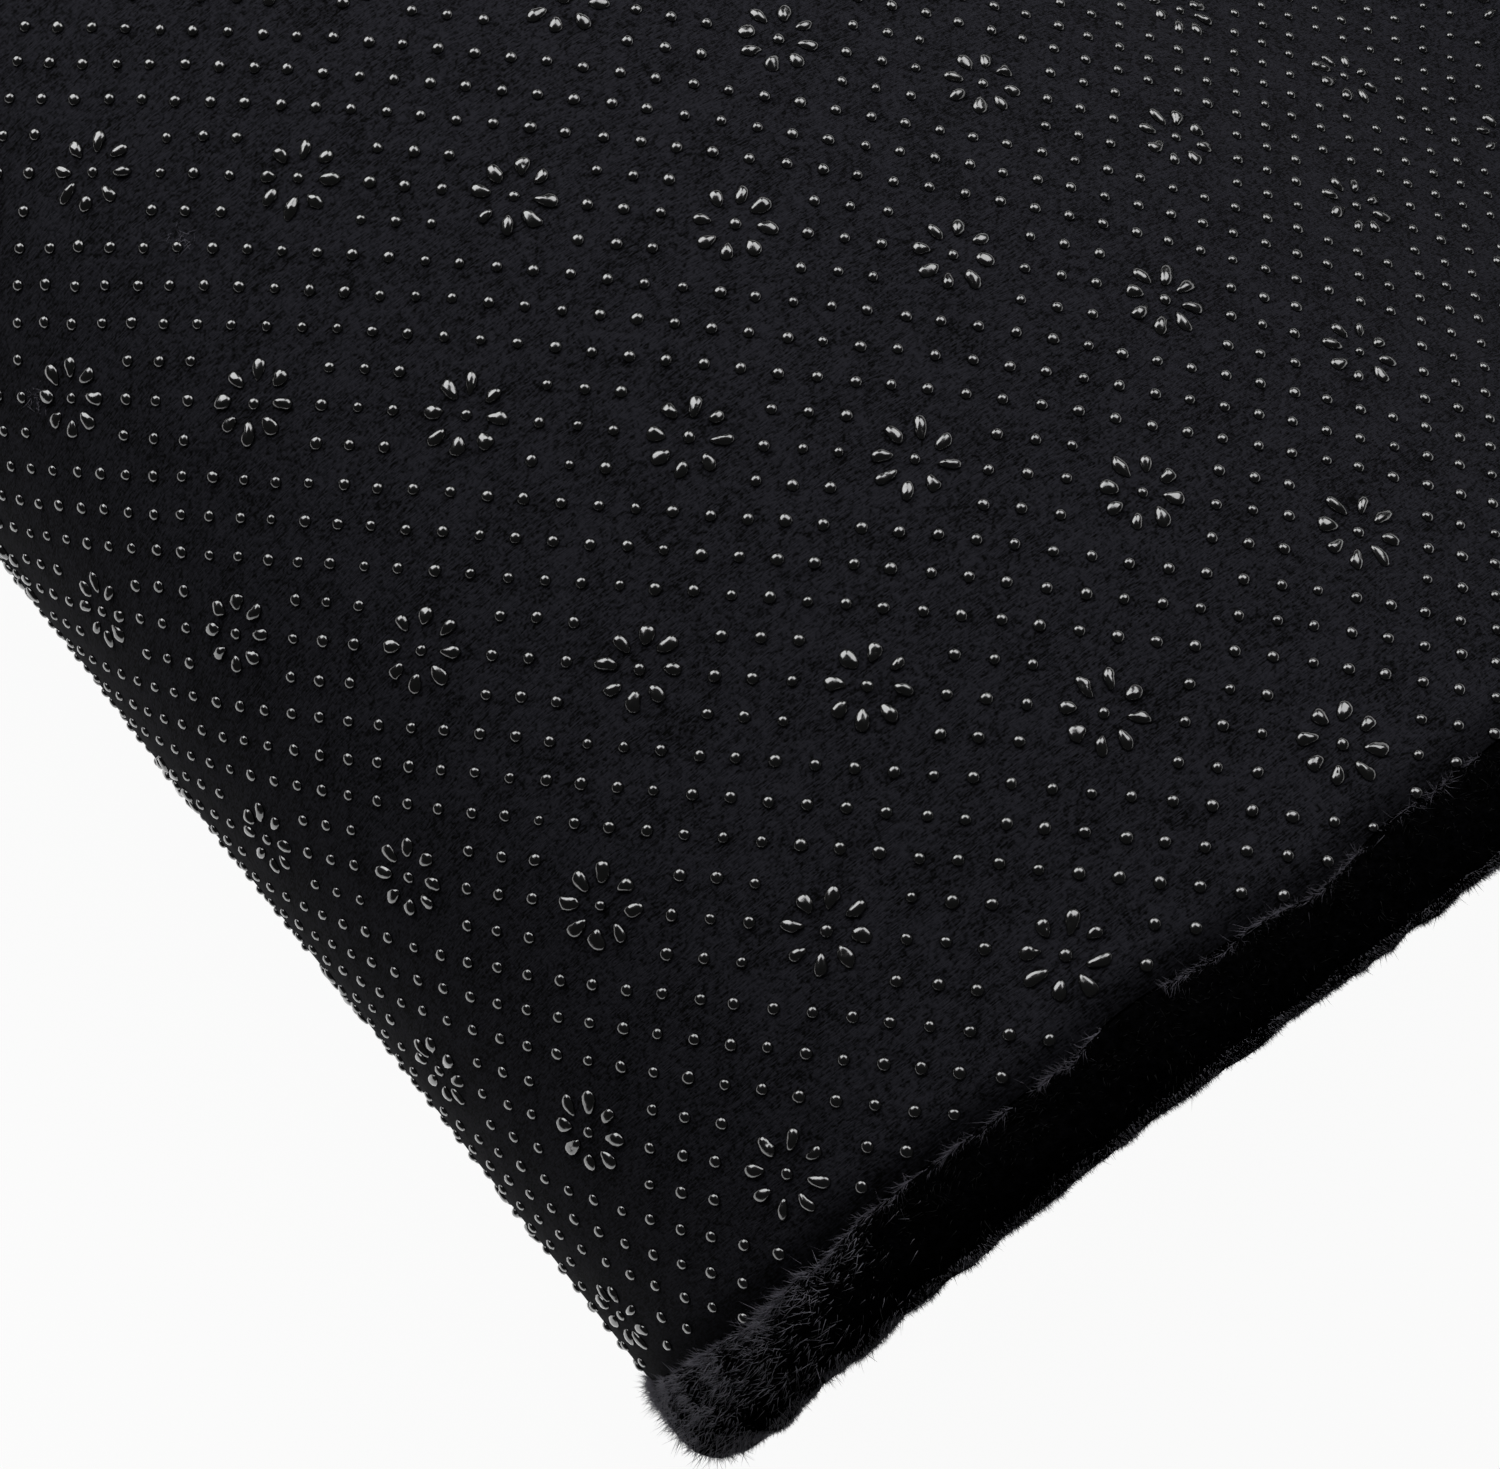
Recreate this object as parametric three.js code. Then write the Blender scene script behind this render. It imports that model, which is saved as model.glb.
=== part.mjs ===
// A plush dashboard cover mat, folded over once so that its dotted non-slip underside shows.
// Two pieces: the plush face, whose pile rolls round every cut edge, and the backing cloth let into it.
// Millimetres, +Z up. +X runs from the fold to the free ends, and -Y is the edge seen in front.
import * as THREE from "three";

// The cut of the backing cloth, laid flat
const matLength = 1200;
const matWidth = 400;
const cornerRadius = 45;

// The layers, measured inwards from the outer face of the backing cloth
const backingThickness = 1;
const plushThickness = 10.7;
const bondGap = 0.3;

// The roll of pile that stands past the cut edge of the backing
const rollOverhang = 13;
const rollHalfWidth = 7;
const rollCentreDepth = 5;
const rollPuff = 1.5;

// The fold, from the floor over the top and down onto the lower layer
const upperLength = 430;
const noseRadius = 63;
const noseTopDegrees = 7;
const crownRadius = 175;
const slopeDegrees = 39;
const slopeLength = 39;
const toeRadius = 120;
const restGap = 0.5;
const skewDegrees = 3;

// Facet counts
const bendStepDegrees = 5;
const cornerSteps = 6;
const rollSteps = 8;
const lipSteps = 2;

const plushColor = 0x0b0b0e;
const backingColor = 0x17171b;

const radians = THREE.MathUtils.degToRad;
const matThickness = backingThickness + bondGap + plushThickness;
const skew = radians(skewDegrees);
const noseTop = radians(noseTopDegrees);
const slope = radians(slopeDegrees);

// The hidden turn off the floor takes the radius that lets the upper layer land on the lower one.
function liftRadius() {
  const landing = 2 * matThickness + restGap;
  const noseRise = noseRadius * Math.cos(noseTop);
  const crownDrop = crownRadius * (Math.cos(noseTop) - Math.cos(slope));
  const slopeDrop = slopeLength * Math.sin(slope);
  const toeDrop = toeRadius * (1 - Math.cos(slope));
  return landing + crownDrop + slopeDrop + toeDrop - noseRise;
}

// The fold's line is a chain of straight and round runs; a positive turn is clockwise seen from the front.
function foldRuns() {
  const arc = (name, radius, turn) => ({ name, length: radius * Math.abs(turn), turn });
  return [
    arc("lift", liftRadius(), Math.PI / 2),
    arc("nose", noseRadius, Math.PI / 2 - noseTop),
    arc("crown", crownRadius, noseTop + slope),
    { name: "slope", length: slopeLength, turn: 0 },
    arc("toe", toeRadius, -slope),
  ];
}

// Each run starts where the last one ended. Distance 0 is the crest of the fold.
function placeRuns() {
  const runs = foldRuns();
  let distance = -(runs[0].length + runs[1].length + crownRadius * noseTop);
  let heading = Math.PI;
  const start = new THREE.Vector2(0, 0);
  for (const run of runs) {
    Object.assign(run, { distance, heading, start: start.clone() });
    start.copy(alongRun(run, run.length));
    distance += run.length;
    heading -= run.turn;
  }
  const crest = pointAt(runs, 0);
  for (const run of runs) run.start.x -= crest.x;
  return runs;
}

function alongRun(run, length) {
  const { x, y } = run.start;
  if (run.turn === 0) {
    return new THREE.Vector2(
      x + length * Math.cos(run.heading),
      y + length * Math.sin(run.heading),
    );
  }
  const radius = run.length / run.turn;
  const heading = run.heading - length / radius;
  return new THREE.Vector2(
    x + radius * (Math.sin(run.heading) - Math.sin(heading)),
    y + radius * (Math.cos(heading) - Math.cos(run.heading)),
  );
}

// The outer face at a distance along the fold: x, height and heading. Both ends run on flat.
function pointAt(runs, distance) {
  const first = runs[0];
  const last = runs[runs.length - 1];
  if (distance <= first.distance) {
    return { x: first.start.x - (distance - first.distance), z: 0, heading: Math.PI };
  }
  const end = last.distance + last.length;
  if (distance >= end) {
    const landing = alongRun(last, last.length);
    return { x: landing.x + distance - end, z: landing.y, heading: 0 };
  }
  const run = runs.findLast((each) => distance >= each.distance);
  const length = distance - run.distance;
  const point = alongRun(run, length);
  const turned = run.turn === 0 ? 0 : (run.turn * length) / run.length;
  return { x: point.x, z: point.y, heading: run.heading - turned };
}

const runs = placeRuns();
const liftOff = runs[0].distance;
const horizon = runs[1].distance;

// A point of the flat mat, given along the fold, across it and inwards from the outer face, on the folded mat
function bend(along, across, depth) {
  const { x, z, heading } = pointAt(runs, along);
  return new THREE.Vector3(
    x + depth * Math.sin(heading),
    -across,
    z - depth * Math.cos(heading),
  );
}

// Distances along the fold where the mat needs a crease line, from lift-off to touch-down
function bendStations() {
  const stations = [liftOff];
  for (const run of runs) {
    const steps = Math.max(1, Math.ceil(Math.abs(run.turn) / radians(bendStepDegrees)));
    for (let i = 1; i <= steps; i += 1) {
      stations.push(run.distance + (run.length * i) / steps);
    }
  }
  return stations;
}

// The cut outline moved outwards by an offset, as pairs of points that face each other across the mat.
// The mat lies skewed to the fold, and the pairs in the bend lie square to it.
function outlinePairs(offset) {
  const halfWidth = matWidth / 2;
  const low = upperLength - matLength + cornerRadius;
  const high = upperLength - cornerRadius;
  const turnFromMat = (a, b) => ({
    along: a * Math.cos(skew) - b * Math.sin(skew),
    across: a * Math.sin(skew) + b * Math.cos(skew),
  });
  const cornerPair = (centre, side, angle) => {
    const radius = cornerRadius + offset;
    const a = centre + side * radius * Math.sin(angle);
    const b = halfWidth - cornerRadius + radius * Math.cos(angle);
    return [turnFromMat(a, -b), turnFromMat(a, b)];
  };
  const stationPair = (station) => {
    const b = halfWidth + offset;
    const a = (side) => (station + side * b * Math.sin(skew)) / Math.cos(skew);
    return [turnFromMat(a(-1), -b), turnFromMat(a(1), b)];
  };
  const angles = Array.from(
    { length: cornerSteps + 1 },
    (_, i) => ((Math.PI / 2) * i) / cornerSteps,
  );
  return [
    ...angles.toReversed().map((angle) => cornerPair(low, -1, angle)),
    ...bendStations().map(stationPair),
    ...angles.map((angle) => cornerPair(high, 1, angle)),
  ];
}

// The floor presses the roll flat under the lower layer, and it puffs out freely from the nose on.
function puffAt(along) {
  return rollPuff * THREE.MathUtils.smoothstep(along, liftOff, horizon);
}

// A ring round the mat at an offset from the cut edge, with its depth given as a function of the distance along
function ring(offset, depthAt) {
  const pairs = outlinePairs(offset);
  const place = ({ along, across }) => bend(along, across, depthAt(along));
  return [
    ...pairs.map((pair) => place(pair[0])),
    ...pairs.toReversed().map((pair) => place(pair[1])),
  ];
}

// A closed body from rings: the first and last are closed by strips that run across the mat.
function bodyFromRings(rings) {
  const count = rings[0].length;
  const faces = [];
  const quad = (a, b, c, d) => faces.push(a, b, c, a, c, d);
  for (let level = 0; level + 1 < rings.length; level += 1) {
    for (let i = 0; i < count; i += 1) {
      const next = (i + 1) % count;
      const here = level * count;
      const there = here + count;
      quad(here + i, there + i, there + next, here + next);
    }
  }
  const top = (rings.length - 1) * count;
  for (let i = 0; i + 1 < count / 2; i += 1) {
    const partner = count - 1 - i;
    quad(i, i + 1, partner - 1, partner);
    quad(top + i, top + partner, top + partner - 1, top + i + 1);
  }
  const geometry = new THREE.BufferGeometry().setFromPoints(rings.flat());
  geometry.setIndex(faces);
  geometry.computeVertexNormals();
  return geometry;
}

// The plush: pile face, round roll at the edge, lip back to the backing, and the recess that holds it
function plushGeometry() {
  const rollCentre = rollOverhang - rollHalfWidth;
  const rings = [];
  for (let i = 0; i <= rollSteps; i += 1) {
    const angle = Math.PI / 2 - (Math.PI * i) / rollSteps;
    const offset = rollCentre + rollHalfWidth * Math.cos(angle);
    const below = (along) => rollCentreDepth + puffAt(along);
    const above = matThickness - rollCentreDepth;
    const depthAt = (along) =>
      rollCentreDepth + Math.sin(angle) * (angle > 0 ? above : below(along));
    rings.push(ring(offset, depthAt));
  }
  for (let i = 1; i <= lipSteps; i += 1) {
    const angle = ((Math.PI / 2) * i) / lipSteps;
    const offset = rollCentre - (rollCentre - bondGap) * Math.sin(angle);
    rings.push(ring(offset, (along) => -puffAt(along) * Math.cos(angle)));
  }
  rings.push(ring(bondGap, () => backingThickness + bondGap));
  return bodyFromRings(rings);
}

function backingGeometry() {
  return bodyFromRings([ring(0, () => backingThickness), ring(0, () => 0)]);
}

function piece(name, geometry, color, roughness) {
  const material = new THREE.MeshStandardMaterial({ color, roughness, metalness: 0 });
  const mesh = new THREE.Mesh(geometry, material);
  mesh.name = name;
  return mesh;
}

const mat = new THREE.Group();
mat.add(piece("plush_face", plushGeometry(), plushColor, 1));
mat.add(piece("dotted_backing", backingGeometry(), backingColor, 0.9));

// The origin is under the middle of the folded mat, on the surface that it lies on.
const middle = new THREE.Box3().setFromObject(mat).getCenter(new THREE.Vector3());
mat.position.set(-middle.x, -middle.y, 0);
mat.updateMatrixWorld(true);

export default mat;
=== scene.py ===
"""A plush dashboard cover mat, folded over once so that its dotted non-slip underside shows."""
import math
from dataclasses import dataclass

import bpy
import numpy as np
from bpy.props import FloatProperty, FloatVectorProperty, IntProperty, PointerProperty
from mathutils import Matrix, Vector


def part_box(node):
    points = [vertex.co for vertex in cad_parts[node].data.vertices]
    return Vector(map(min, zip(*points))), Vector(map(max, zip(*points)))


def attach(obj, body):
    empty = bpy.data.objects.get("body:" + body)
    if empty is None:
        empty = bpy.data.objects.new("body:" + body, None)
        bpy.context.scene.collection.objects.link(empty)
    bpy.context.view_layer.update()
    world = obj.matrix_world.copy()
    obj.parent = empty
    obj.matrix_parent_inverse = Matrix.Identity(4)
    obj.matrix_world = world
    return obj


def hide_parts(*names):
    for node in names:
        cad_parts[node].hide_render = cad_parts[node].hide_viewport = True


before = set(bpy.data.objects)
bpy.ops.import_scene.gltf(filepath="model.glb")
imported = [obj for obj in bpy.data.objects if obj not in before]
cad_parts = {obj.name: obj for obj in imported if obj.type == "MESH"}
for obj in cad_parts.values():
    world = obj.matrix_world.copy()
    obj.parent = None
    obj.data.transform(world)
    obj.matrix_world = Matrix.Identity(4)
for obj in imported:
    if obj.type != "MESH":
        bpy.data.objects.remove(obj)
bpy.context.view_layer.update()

bl_info = {
    "name": "Dashboard Cover Mat",
    "version": (1, 0, 0),
    "blender": (4, 5, 0),
    "location": "View3D > Sidebar > Cover Mat",
    "description": "Builds a plush dashboard cover mat, folded over, with its dotted backing up",
    "category": "Add Mesh",
}

SENSOR_WIDTH = 36.0
MM = 0.001
BODY = "root"

# Start values of everything random, so that each run makes the same mat
SEEDS = {
    "swell": 3,
    "clumps": 5,
    "fine_clumps": 6,
    "print": 11,
    "stretch": (21, 22),
    "beads": 40,
    "patches": 61,
    "fur": 71,
    "far_tufts": 81,
    "specks": (85, 86),
    "face_tufts": (87, 88),
    "lean": (91, 92, 93),
}


def linear(hex_colour):
    """Turns an sRGB hex colour into the linear colour that shaders take."""
    channels = [int(hex_colour[i : i + 2], 16) / 255 for i in (1, 3, 5)]
    return [c / 12.92 if c <= 0.04045 else ((c + 0.055) / 1.055) ** 2.4 for c in channels]


def length_property(name, description, default):
    """A size in metres that shows in the sidebar with its unit."""
    return FloatProperty(
        name=name,
        description=description,
        default=default,
        unit="LENGTH",
        precision=5,
    )


def angle_property(name, description, degrees):
    """An angle that shows in the sidebar in degrees."""
    return FloatProperty(
        name=name,
        description=description,
        default=math.radians(degrees),
        subtype="ANGLE",
    )


def colour_property(name, description, hex_colour):
    """A colour given in hex and kept as linear light."""
    return FloatVectorProperty(
        name=name,
        description=description,
        default=linear(hex_colour),
        subtype="COLOR",
        min=0,
        max=1,
    )


class MatCut(bpy.types.PropertyGroup):
    """The mat laid flat, and its layers"""

    length: length_property("Length", "Length of the backing cloth", 1.2)
    width: length_property("Width", "Width of the backing cloth", 0.4)
    corner_radius: length_property("Corner radius", "Radius of its rounded corners", 0.045)
    cloth: length_property("Cloth thickness", "Thickness of the backing cloth", 0.001)
    plush: length_property("Plush thickness", "Depth of the plush under the cloth", 0.0107)
    bond: length_property("Bond gap", "Gap between the cloth and the plush", 0.0003)
    skew: angle_property("Skew", "Angle between the mat's edge and the fold", 3)
    swell: length_property("Swell", "Height of the soft waves in the cloth", 0.0003)
    swell_spacing: length_property("Swell spacing", "Distance between those waves", 0.028)


class MatFold(bpy.types.PropertyGroup):
    """The line of the fold, from the floor over the top and down onto the lower layer"""

    upper_length: length_property("Upper layer", "Length from the crest to the upper end", 0.43)
    nose_radius: length_property("Nose radius", "Radius of the fold's round end", 0.063)
    nose_top: angle_property("Nose top", "Slope where the nose meets the crown", 7)
    crown_radius: length_property("Crown radius", "Radius over the top of the fold", 0.175)
    slope: angle_property("Slope", "Steepest slope behind the crown", 39)
    slope_length: length_property("Slope length", "Length of the straight slope", 0.039)
    toe_radius: length_property("Toe radius", "Radius where the slope runs out flat", 0.12)
    rest_gap: length_property("Rest gap", "Gap between the two layers", 0.0005)


class GripPrint(bpy.types.PropertyGroup):
    """The moulded dots and dot flowers of the backing"""

    pitch: length_property("Pitch", "Distance between dots in a row", 0.005)
    row_stretch: FloatProperty(
        name="Row stretch",
        description="Row distance over dot distance",
        default=1.043,
    )
    slant: FloatProperty(
        name="Slant",
        description="Sideways shift of each row over the pitch",
        default=-0.0787,
    )
    turn: angle_property("Turn", "Angle between the rows and the fold's direction", 46.88)
    shift: length_property("Shift", "Distance from the crest to the nearest flower", 0.00253)
    across: length_property("Shift across", "The same, across the mat", 0.0022)
    flower_step: IntProperty(name="Flower step", description="Pitches between flowers", default=6)
    dot_width: length_property("Dot width", "Width of a dot", 0.0019)
    dot_height: length_property("Dot height", "Height of a dot", 0.00062)
    petal_length: length_property("Petal length", "Length of a petal", 0.0031)
    petal_width: length_property("Petal width", "Width of a petal", 0.0020)
    petal_ring: length_property("Petal ring", "Radius of the ring of petals", 0.0044)
    petals: IntProperty(name="Petals", description="Petals on a flower", default=8)


class PlushPile(bpy.types.PropertyGroup):
    """The pile that rolls round the cut edge"""

    overhang: length_property("Overhang", "Reach of the roll past the backing", 0.013)
    half_width: length_property("Roll half width", "Half the width of the roll", 0.007)
    centre_depth: length_property("Roll centre", "Depth of the roll's centre", 0.005)
    puff: length_property("Puff", "Rise of the roll above the backing at the nose", 0.0022)
    crown_puff: length_property("Crown puff", "Rise of the roll above the backing past the nose", 0.0006)
    clump: length_property("Clump height", "Height of the clumps in the pile", 0.0005)
    clump_spacing: length_property("Clump spacing", "Distance between clumps", 0.004)
    tuft_length: length_property("Tuft length", "Length of a tuft away from the camera", 0.0036)
    tuft_width: length_property("Tuft width", "Width of such a tuft", 0.0007)
    far_tufts: IntProperty(name="Far tufts", description="Tufts on the rest of the roll", default=20000)
    face_tufts: IntProperty(name="Face tufts", description="Tufts on the shown pile face", default=13000)


class MatColours(bpy.types.PropertyGroup):
    """The colours of the mat's materials"""

    cloth_dark: colour_property("Cloth, deep", "Backing cloth between its yarns", "#040405")
    cloth_light: colour_property("Cloth, raised", "Brushed yarn of the backing cloth", "#29292f")
    dots: colour_property("Dots", "Moulded vinyl dots", "#050506")
    # Painted shade: the deeper black where the pile sinks between its clumps
    pile_deep_painted_shade: colour_property("Pile, deep", "Pile between its clumps", "#020202")
    pile_dark: colour_property("Pile, dark", "Pile that stands towards the eye", "#09090b")
    # Painted sheen: a light grey on black fibres, standing for pile seen along its length
    pile_tips_painted_sheen: colour_property("Pile, tips", "Pile seen along its length", "#7b7a83")
    # Painted rim light: a light grey on black fibres at the roll's outer edge
    pile_rim_painted_light: colour_property("Pile, rim", "Thin pile at the outer edge, lit through", "#8a8992")
    # Painted sheen: a dark grey over the pile's own black on the tufts
    tufts_painted_sheen: colour_property("Pile, tufts", "Tufts away from the camera", "#2a2a2f")
    # Grey of real lint specks on the cloth, also used as painted sheen on the black fringe fibres
    lint_and_painted_sheen: colour_property("Lint", "Loose fibres along the cut edge", "#6a6872")
    floor: colour_property("Floor", "Pale floor under the mat", "#f4f4f4")


class StudioStage(bpy.types.PropertyGroup):
    """The camera's lens and the strength of the lamps"""

    key_power: FloatProperty(
        name="Key power",
        description="Power of the larger lamp",
        default=5.4,
        unit="POWER",
    )
    side_power: FloatProperty(
        name="Side power",
        description="Power of the smaller lamp",
        default=3.6,
        unit="POWER",
    )
    sky: FloatProperty(name="Sky", description="Strength of the even light from all round", default=0.03)
    lens: FloatProperty(name="Lens", description="Focal length in millimetres", default=54.5)


class FoldLine:
    """The backing's outer face seen from the front. Distance 0 is the crest of the fold."""

    def __init__(self, cut, fold):
        thickness = cut.cloth + cut.bond + cut.plush
        top = math.cos(fold.nose_top)
        landing = 2 * thickness + fold.rest_gap
        crown_drop = fold.crown_radius * (top - math.cos(fold.slope))
        slope_drop = fold.slope_length * math.sin(fold.slope)
        toe_drop = fold.toe_radius * (1 - math.cos(fold.slope))
        lift_radius = landing + crown_drop + slope_drop + toe_drop - fold.nose_radius * top
        quarter = math.pi / 2
        crown_turn = fold.nose_top + fold.slope
        runs = [
            (cut.length, 0),
            (lift_radius * quarter, 1 / lift_radius),
            (fold.nose_radius * (quarter - fold.nose_top), 1 / fold.nose_radius),
            (fold.crown_radius * crown_turn, 1 / fold.crown_radius),
            (fold.slope_length, 0),
            (fold.toe_radius * fold.slope, -1 / fold.toe_radius),
            (cut.length, 0),
        ]
        lengths = np.array([length for length, _ in runs])
        self.bend = np.array([bend for _, bend in runs])
        self.start = np.concatenate([[0], np.cumsum(lengths)[:-1]])
        self.heading = math.pi - np.concatenate([[0], np.cumsum(lengths * self.bend)[:-1]])
        self.x = np.zeros(len(runs))
        self.z = np.zeros(len(runs))
        self.start -= self.start[3] + fold.crown_radius * fold.nose_top
        for i in range(1, len(runs)):
            self.x[i], self.z[i], _ = self.along(i - 1, lengths[i - 1])
        self.x -= self.at(np.zeros(1))[0][0]
        self.lift_off, self.horizon, self.crown_start = self.start[1:4]

    def along(self, run, length):
        """x, height and heading at a length into a run, for one run or an array of them."""
        bend = self.bend[run]
        first = self.heading[run]
        heading = first - bend * length
        straight = bend == 0
        safe = np.where(straight, 1, bend)
        x = np.where(
            straight,
            length * np.cos(first),
            (np.sin(first) - np.sin(heading)) / safe,
        )
        z = np.where(
            straight,
            length * np.sin(first),
            (np.cos(heading) - np.cos(first)) / safe,
        )
        return self.x[run] + x, self.z[run] + z, heading

    def at(self, distance):
        """x, height and heading at each distance from the crest."""
        run = np.clip(np.searchsorted(self.start, distance, side="right") - 1, 0, len(self.start) - 1)
        return self.along(run, distance - self.start[run])


# The front edge as it shows: places along the mat, with how far the cloth's cut waves outwards
# and how far the roll of pile reaches past the straight cut. Between places they change smoothly.
FRONT_EDGE = {
    "place": (-0.13, -0.09, -0.06, -0.045, -0.02, 0.007, 0.018, 0.035, 0.048, 0.061, 0.08, 0.13),
    "cut": (0, 0, 0.0006, 0.0008, -0.0008, -0.0003, -0.0010, 0.0003, 0.0019, 0.0006, 0.0010, 0),
    "reach": (0.013, 0.0158, 0.0150, 0.0134, 0.0122, 0.0120, 0.0121, 0.0126, 0.0130, 0.0134, 0.0136, 0.013),
}


def along_front(values, place):
    """The value at each place, eased from one listed place to the next."""
    places = np.array(FRONT_EDGE["place"])
    values = np.array(values)
    place = np.clip(place, places[0], places[-1])
    step = np.clip(np.searchsorted(places, place, side="right") - 1, 0, len(places) - 2)
    t = (place - places[step]) / (places[step + 1] - places[step])
    return values[step] + (values[step + 1] - values[step]) * t * t * (3 - 2 * t)


class MatForm:
    """Turns places on the flat mat into places on the folded one."""

    def __init__(self, scene):
        self.cut = scene.mat_cut
        self.fold = scene.mat_fold
        self.line = FoldLine(self.cut, self.fold)
        self.low_end = self.fold.upper_length - self.cut.length
        self.high_end = self.fold.upper_length
        self.shift = np.zeros(3)
        rows = edge_rows(self, coarse_stations(self))
        outline = self.place(*border(sheet_grid(rows, 0, 1)).T, 0)
        low, high = (np.array(corner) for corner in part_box("dotted_backing"))
        middle = (low + high) / 2 - (outline.min(axis=0) + outline.max(axis=0)) / 2
        self.shift = np.array([middle[0], middle[1], 0])

    def turn(self, a, b):
        """From the mat's own length and width to distances along and across the fold."""
        cos, sin = math.cos(self.cut.skew), math.sin(self.cut.skew)
        return a * cos - b * sin, a * sin + b * cos

    def unturn(self, along, across):
        """The other way round."""
        cos, sin = math.cos(self.cut.skew), math.sin(self.cut.skew)
        return along * cos + across * sin, across * cos - along * sin

    def place(self, a, b, depth):
        """Points of the mat at a depth inwards from the cloth's outer face, in the row frame."""
        along, across = self.turn(np.asarray(a), np.asarray(b))
        x, z, heading = self.line.at(along)
        points = np.stack([x + depth * np.sin(heading), -across, z - depth * np.cos(heading)], axis=-1)
        return points + self.shift

    def swell(self, a, b):
        """How far the cloth stands out of its smooth form."""
        flat = np.stack([a, b, np.zeros_like(a)], axis=-1)
        return self.cut.swell * smooth_noise(flat, self.cut.swell_spacing, SEEDS["swell"])

    def puff(self, a, b, pile):
        """The floor presses the roll flat under the lower layer. At the nose it stands proudest."""
        along, _ = self.turn(a, b)
        ends = self.line.lift_off, self.line.horizon, self.line.crown_start
        rising = smooth_step(along, ends[0], ends[1])
        settling = smooth_step(along, ends[1], ends[2])
        return pile.puff * rising + (pile.crown_puff - pile.puff) * settling

    def cut_wave(self, a, b):
        """How far the cloth's cut waves outwards, on the front edge only."""
        return np.where(b > 0, along_front(FRONT_EDGE["cut"], a), 0)

    def roll_reach(self, a, b, pile):
        """How far the roll reaches past the straight cut."""
        return np.where(b > 0, along_front(FRONT_EDGE["reach"], a), pile.overhang)


def smooth_step(value, low, high):
    """0 below the low value, 1 above the high one and an eased rise between them."""
    t = np.clip((value - low) / (high - low), 0, 1)
    return t * t * (3 - 2 * t)


# Large odd numbers that scatter a cell's place into a value of its own
SCATTER = (73856093, 19349663, 83492791)
SCATTER_SEED = 2654435761
SCATTER_AGAIN = 1274126177


def smooth_noise(points, spacing, seed):
    """Noise from -1 to 1 with lumps about one spacing apart, the same on each run."""
    well_above_zero = 1000
    scaled = np.asarray(points) / spacing + well_above_zero
    cell = np.floor(scaled).astype(np.int64)
    t = scaled - cell
    t = t * t * (3 - 2 * t)
    total = np.zeros(scaled.shape[:-1])
    for corner in np.ndindex(2, 2, 2):
        at = cell + np.array(corner)
        x, y, z = (at[..., k] * SCATTER[k] for k in range(3))
        key = x ^ y ^ z ^ seed * SCATTER_SEED
        key = (key ^ (key >> 13)) * SCATTER_AGAIN & 0xFFFFFFFF
        value = ((key ^ (key >> 16)) & 0xFFFF) / 0x7FFF - 1
        total += value * np.prod(np.where(corner, t, 1 - t), axis=-1)
    return total


CORNER_STEPS = 10
COARSE_STEP = 0.006
FINE_STEP = 0.0016
SHOWN_RANGE = (-0.135, 0.13)

# Points across the mat, and round its roll of pile
CLOTH_COLUMNS = 72
PILE_COLUMNS = 60
ROLL_STEPS = 18
LIP_STEPS = 6


def coarse_stations(form):
    """Row places along the mat: fine where the camera looks closely, coarse elsewhere."""
    low = form.low_end + form.cut.corner_radius
    high = form.high_end - form.cut.corner_radius
    ends = [low, *SHOWN_RANGE, high]
    steps = [COARSE_STEP, FINE_STEP, COARSE_STEP]
    stretches = [
        np.linspace(start, end, math.ceil((end - start) / step), endpoint=False)
        for start, end, step in zip(ends, ends[1:], steps)
    ]
    return np.concatenate(stretches)


def edge_rows(form, stations):
    """Rows across the mat as (a, half width, normal along, normal across), with round corners."""
    radius = form.cut.corner_radius
    half = form.cut.width / 2 - radius
    angles = np.linspace(0, math.pi / 2, CORNER_STEPS + 1)
    sin, cos = np.sin(angles), np.cos(angles)
    corner = np.stack([radius * sin, half + radius * cos, sin, cos], axis=1)
    low = corner[::-1] * [-1, 1, -1, 1] + [form.low_end + radius, 0, 0, 0]
    high = corner + [form.high_end - radius, 0, 0, 0]
    middle = np.stack(
        [
            stations[1:],
            np.full(len(stations) - 1, half + radius),
            np.zeros(len(stations) - 1),
            np.ones(len(stations) - 1),
        ],
        axis=1,
    )
    return np.concatenate([low, middle, high])


def sheet_grid(rows, offset, columns):
    """A grid over the mat grown by an offset: rows by columns + 1 points of (a, b)."""
    a = rows[:, 0] + offset * rows[:, 2]
    width = rows[:, 1] + offset * rows[:, 3]
    share = 1 - 2 * np.arange(columns + 1) / columns
    return np.stack([np.repeat(a[:, None], columns + 1, axis=1), width[:, None] * share], axis=-1)


def border(grid):
    """The grid's rim in order: front side, high end, back side, low end."""
    return np.concatenate([grid[:, 0], grid[-1, 1:-1], grid[::-1, -1], grid[0, -2:0:-1]])


def border_indices(rows, columns):
    """The same, as the point numbers of a grid kept row by row."""
    numbers = np.arange(rows * (columns + 1)).reshape(rows, columns + 1)
    return border(numbers)


def grid_quads(rows, columns):
    """The faces of such a grid, counter-clockwise seen from the cloth's outer side."""
    numbers = np.arange(rows * (columns + 1)).reshape(rows, columns + 1)
    corners = numbers[:-1, :-1], numbers[1:, :-1], numbers[1:, 1:], numbers[:-1, 1:]
    return np.stack(corners, axis=-1).reshape(-1, 4)


def ring_quads(upper, lower):
    """Outward faces between two closed rings that run counter-clockwise seen from above."""
    return np.stack([upper, lower, np.roll(lower, -1), np.roll(upper, -1)], axis=1)


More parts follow.
